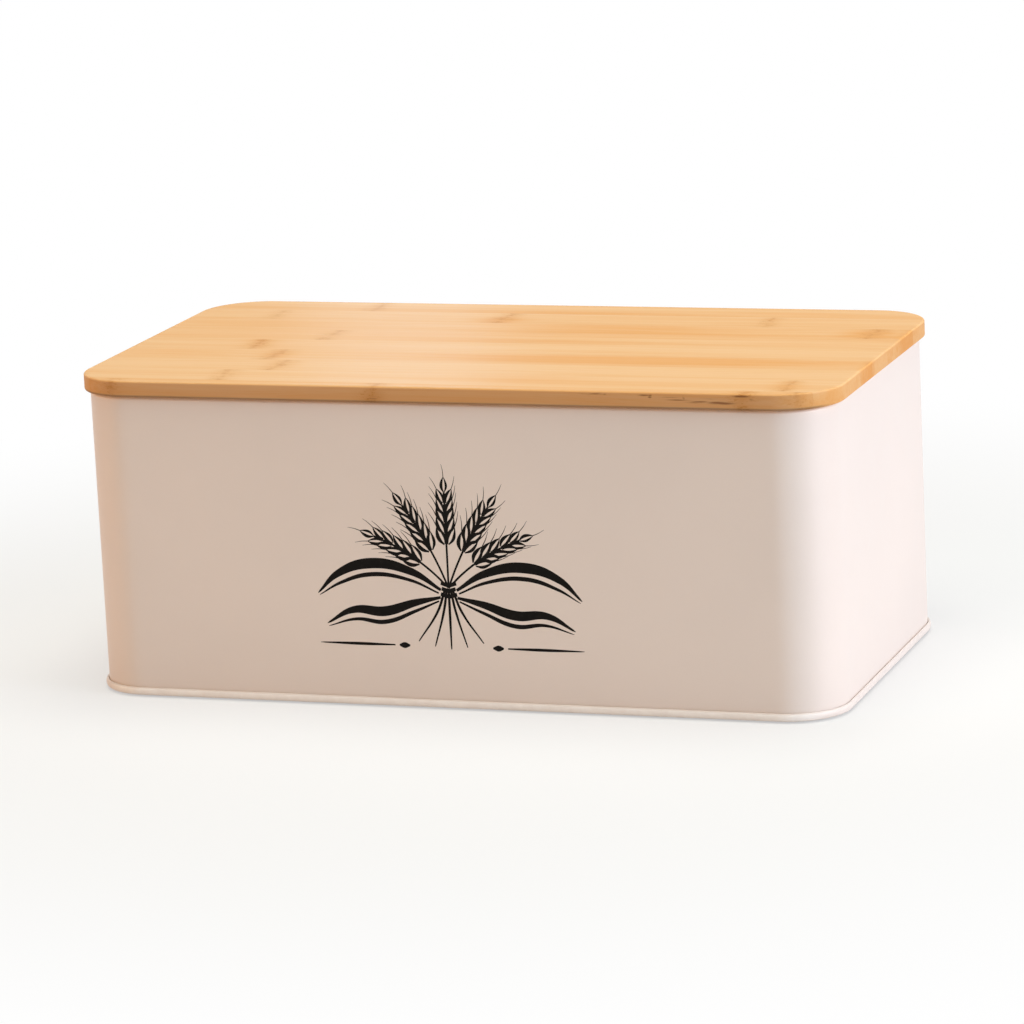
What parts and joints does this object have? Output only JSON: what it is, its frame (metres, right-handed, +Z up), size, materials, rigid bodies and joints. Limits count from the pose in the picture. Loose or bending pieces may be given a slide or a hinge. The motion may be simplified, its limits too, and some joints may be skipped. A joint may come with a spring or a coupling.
{
  "type": "bread box",
  "caption": "Oblong bread box of seamed sheet metal with rounded corners, a rolled rim and low feet, under a flat lid of glued bamboo strips that lifts straight off.",
  "frame": {"origin": "on the worktop, under the middle of the box", "axes": "+X to the right along the front, +Y from the front to the back, +Z up"},
  "size_m": [0.335, 0.182, 0.1384],
  "materials": {
    "satin_paint": "satin powder coat, warm ivory",
    "foot_rubber": "matt",
    "bamboo_pale": "sanded and thinly oiled bamboo, pale strips",
    "bamboo_mid": "sanded and thinly oiled bamboo, medium strips",
    "bamboo_dark": "sanded and thinly oiled bamboo, darker strips"
  },
  "bodies": {
    "box": {"wall_sheet": "satin_paint", "base_pan": "satin_paint", "foot_front_left": "foot_rubber", "foot_front_right": "foot_rubber", "foot_back_left": "foot_rubber", "foot_back_right": "foot_rubber"},
    "lid": {"lid_strip_1": "bamboo_mid", "lid_strip_2": "bamboo_pale", "lid_strip_3": "bamboo_dark", "lid_strip_4": "bamboo_mid", "lid_strip_5": "bamboo_pale", "lid_strip_6": "bamboo_dark", "lid_strip_7": "bamboo_pale", "lid_strip_8": "bamboo_pale", "lid_strip_9": "bamboo_mid"}
  },
  "joints": [
    {"name": "lid_lift", "type": "slide", "parent": "box", "child": "lid", "axis": [0, 0, 1], "range_m": [0, 0.16]}
  ]
}
